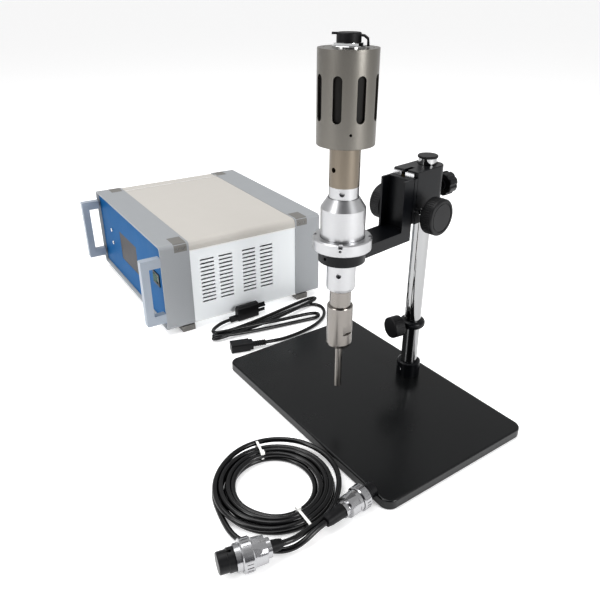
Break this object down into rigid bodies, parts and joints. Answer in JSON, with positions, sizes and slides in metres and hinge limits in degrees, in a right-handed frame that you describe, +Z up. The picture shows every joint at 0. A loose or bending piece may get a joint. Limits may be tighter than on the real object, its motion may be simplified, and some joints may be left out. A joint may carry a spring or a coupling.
{
  "type": "probe sonicator",
  "caption": "Ultrasonic probe homogeniser: transducer, booster and horn on a focusing stand, with its generator, high frequency cable and mains lead.",
  "frame": {"origin": "middle of the stand's base plate, on the surface it stands on", "axes": "+X along the plate's long side, away from the generator; +Y towards the stand's column; +Z up. The stand, the generator and the leads all rest on Z = 0."},
  "size_m": [0.9249, 0.5067, 0.5264],
  "materials": {
    "black_coat": "satin powder coat",
    "chrome": "polished",
    "black_anodised": "black anodised, satin",
    "black_knurl": "black anodised, knurled",
    "bright_steel": "turned and ground",
    "turned_alloy": "fine turned",
    "warm_alloy": "satin, warm grey",
    "titanium": "turned titanium",
    "bronze_alloy": "turned, slightly tarnished",
    "ceramic": "unglazed ceramic",
    "dark_liner": "matt",
    "rubber_black": "moulded rubber",
    "plastic_black": "moulded plastic",
    "cream_paint": "smooth paint",
    "white_paint": "smooth paint",
    "taupe_cast": "fine textured paint",
    "taupe_dark": "moulded plastic",
    "blue_panel": "matt printed foil",
    "handle_grey": "smooth paint",
    "display_grey": "clear window over grey",
    "rocker_dark": "dark green plastic",
    "cable_black": "glossy cable jacket",
    "tie_white": "nylon"
  },
  "bodies": {
    "base": {"base_pad": "rubber_black", "base_plate": "black_coat", "boss_screws": "bright_steel", "cable_ties": "tie_white", "column": "chrome", "column_boss": "black_anodised", "column_cap": "black_knurl", "corner_caps": "taupe_dark", "display_window": "display_grey", "front_frame": "taupe_cast", "front_panel": "blue_panel", "gen_feet": "plastic_black", "handles": "handle_grey", "hf_coil": "cable_black", "hf_outlet": "chrome", "hf_tails": "cable_black", "lower_case": "white_paint", "mains_hank": "cable_black", "mains_inlet": "plastic_black", "mains_plug": "plastic_black", "mains_socket": "plastic_black", "mains_tail": "cable_black", "plug_boots": "rubber_black", "plug_inserts": "plastic_black", "plug_shells": "chrome", "rear_frame": "taupe_cast", "rear_panel": "white_paint", "rocker_bezel": "plastic_black", "top_cover": "cream_paint"},
    "collar": {"stop_collar": "black_anodised"},
    "collar_knob": {"collar_knob": "plastic_black"},
    "sleeve": {"column_sleeve": "plastic_black"},
    "head": {"head_block": "black_anodised", "tension_screw": "chrome", "dovetail_rails": "bright_steel"},
    "clamp_knob": {"clamp_knob": "plastic_black"},
    "pinion": {"pinion_shaft": "bright_steel", "focus_knobs": "black_knurl"},
    "carriage": {"carriage_bracket": "black_anodised", "rack": "bronze_alloy"},
    "stack": {"converter_housing": "warm_alloy", "housing_liner": "dark_liner", "housing_lid": "warm_alloy", "socket_body": "chrome", "socket_insert": "plastic_black", "back_mass": "bright_steel", "piezo_rings": "ceramic", "front_mass": "bronze_alloy", "booster": "turned_alloy", "booster_shell": "turned_alloy", "clamp_ring": "turned_alloy", "horn": "titanium", "probe": "titanium"},
    "cap": {"dust_cap": "rubber_black"},
    "button_run": {"button_run": "bright_steel"},
    "button_set": {"button_set": "bright_steel"},
    "rocker": {"rocker": "rocker_dark"},
    "fan": {"fan_rotor": "plastic_black"},
    "nut_a": {"plug_nut_a": "chrome"},
    "nut_b": {"plug_nut_b": "chrome"}
  },
  "joints": [
    {"name": "head_slide", "type": "slide", "parent": "base", "child": "sleeve", "axis": [0, 0, 1], "range_m": [-0.025, 0.006]},
    {"name": "head_swivel", "type": "hinge", "parent": "sleeve", "child": "head", "pos_m": [0, 0.091, 0.318], "axis": [0, 0, 1], "range_deg": [-60, 60]},
    {"name": "clamp_knob_turn", "type": "hinge", "parent": "head", "child": "clamp_knob", "pos_m": [-0.00496, 0.12868, 0.317], "axis": [-0.1305, 0.9914, 0], "range_deg": [-90, 90]},
    {"name": "carriage_slide", "type": "slide", "parent": "head", "child": "carriage", "axis": [0, 0, 1], "range_m": [-0.018, 0.018]},
    {"name": "pinion_spin", "type": "hinge", "parent": "head", "child": "pinion", "pos_m": [0.00392, 0.06126, 0.297], "axis": [0.9914, 0.1305, 0], "range_deg": [-140, 140]},
    {"name": "stack_lift", "type": "slide", "parent": "carriage", "child": "stack", "axis": [0, 0, 1], "range_m": [0, 0.06]},
    {"name": "cap_flip", "type": "hinge", "parent": "stack", "child": "cap", "pos_m": [0.03533, -0.05557, 0.5136], "axis": [-0.7431, 0.6691, 0], "range_deg": [0, 110]},
    {"name": "collar_slide", "type": "slide", "parent": "base", "child": "collar", "axis": [0, 0, 1], "range_m": [-0.055, 0.08]},
    {"name": "collar_knob_turn", "type": "hinge", "parent": "collar", "child": "collar_knob", "pos_m": [-0.00295, 0.06698, 0.1075], "axis": [-0.1219, -0.9925, 0], "range_deg": [-90, 90]},
    {"name": "button_run_press", "type": "slide", "parent": "base", "child": "button_run", "axis": [0.0523, 0.9986, 0], "range_m": [0, 0.0015], "stiffness_N_per_m": 800, "springref_m": -0.001},
    {"name": "button_set_press", "type": "slide", "parent": "base", "child": "button_set", "axis": [0.0523, 0.9986, 0], "range_m": [0, 0.0015], "stiffness_N_per_m": 800, "springref_m": -0.001},
    {"name": "power_rocker", "type": "hinge", "parent": "base", "child": "rocker", "pos_m": [-0.39145, -0.16093, 0.0985], "axis": [0, 0, 1], "range_deg": [-10, 0]},
    {"name": "fan_spin", "type": "hinge", "parent": "base", "child": "fan", "pos_m": [-0.6317, 0.14647, 0.092], "axis": [0.0523, 0.9986, 0], "continuous": true},
    {"name": "nut_a_turn", "type": "hinge", "parent": "base", "child": "nut_a", "pos_m": [0.165, -0.136, 0.016], "axis": [0.1219, -0.9925, 0], "range_deg": [-180, 180]},
    {"name": "nut_b_turn", "type": "hinge", "parent": "base", "child": "nut_b", "pos_m": [0.157, -0.327, 0.019], "axis": [0.2334, 0.9724, 0], "range_deg": [-180, 180]}
  ],
  "couplings": [
    {"joint": "pinion_spin", "follows": "carriage_slide", "rad_per_m": -131.58}
  ]
}
